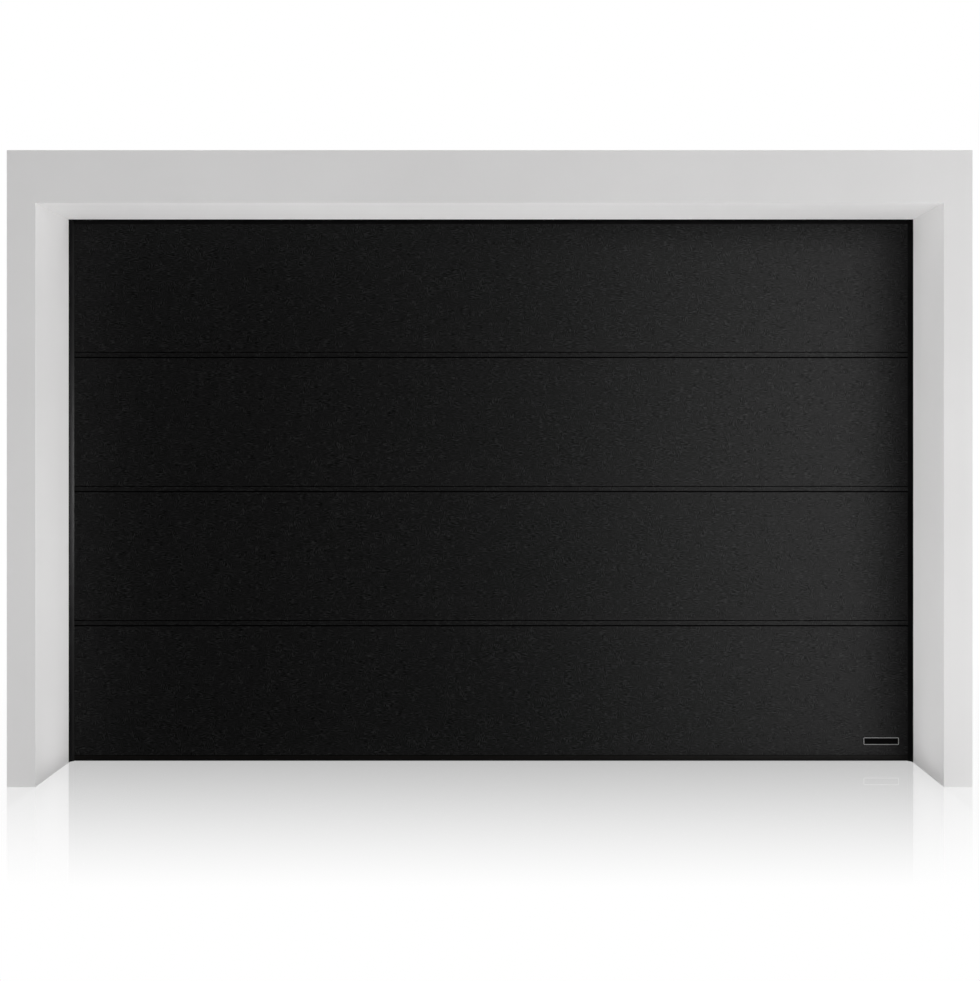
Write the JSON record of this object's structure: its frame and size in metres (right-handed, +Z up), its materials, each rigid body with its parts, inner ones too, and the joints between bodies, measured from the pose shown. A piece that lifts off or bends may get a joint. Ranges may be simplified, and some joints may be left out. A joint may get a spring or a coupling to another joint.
{
  "type": "sectional garage door",
  "caption": "Closed overhead sectional door in a plain wall portal, with side seals, and with roller tracks, hangers and torsion springs behind.",
  "frame": {"origin": "on the floor, half way between the piers, in the middle of the leaf's thickness", "axes": "+X to the right seen from outside, +Y into the garage, +Z up"},
  "size_m": [3.72, 3.055, 2.6],
  "materials": {
    "wall_render": "fine matt render, pale grey",
    "section_steel": "black coat with a fine emboss outside",
    "end_cap_steel": "galvanised sheet",
    "rail_aluminium": "black anodised",
    "seal_rubber": "matt black",
    "frame_steel": "galvanised sheet",
    "track_steel": "galvanised, roll formed",
    "wheel_nylon": "white nylon",
    "stem_steel": "zinc plated",
    "hinge_steel": "galvanised, pressed",
    "spring_steel": "drawn, zinc coated wire",
    "cone_aluminium": "die cast",
    "drum_aluminium": "die cast",
    "bearing_steel": "galvanised plate",
    "hanger_steel": "galvanised section"
  },
  "bodies": {
    "root": {"wall_pier_left": "wall_render", "wall_pier_right": "wall_render", "wall_lintel": "wall_render", "door_section_1": "section_steel", "door_section_2": "section_steel", "door_section_3": "section_steel", "door_section_4": "section_steel", "section_end_caps_left": "end_cap_steel", "section_end_caps_right": "end_cap_steel", "bottom_rail": "rail_aluminium", "bottom_seal": "seal_rubber", "side_seal_left": "seal_rubber", "side_seal_right": "seal_rubber", "top_seal": "seal_rubber", "track_bumpers": "seal_rubber", "side_frame_left": "frame_steel", "side_frame_right": "frame_steel", "corner_brackets": "frame_steel", "vertical_track_left": "track_steel", "vertical_track_right": "track_steel", "curved_tracks": "track_steel", "horizontal_track_left": "track_steel", "horizontal_track_right": "track_steel", "roller_wheels": "wheel_nylon", "roller_stems": "stem_steel", "spring_shaft": "stem_steel", "side_hinges_left": "hinge_steel", "side_hinges_right": "hinge_steel", "bottom_brackets": "hinge_steel", "top_roller_carriers": "hinge_steel", "hinge_lower_leaves": "hinge_steel", "hinge_upper_leaves": "hinge_steel", "torsion_spring_left": "spring_steel", "torsion_spring_right": "spring_steel", "spring_cones": "cone_aluminium", "cable_drums": "drum_aluminium", "end_bearing_plates": "bearing_steel", "centre_bracket": "bearing_steel", "rear_crossbar": "hanger_steel", "ceiling_hangers": "hanger_steel"}
  },
  "joints": []
}
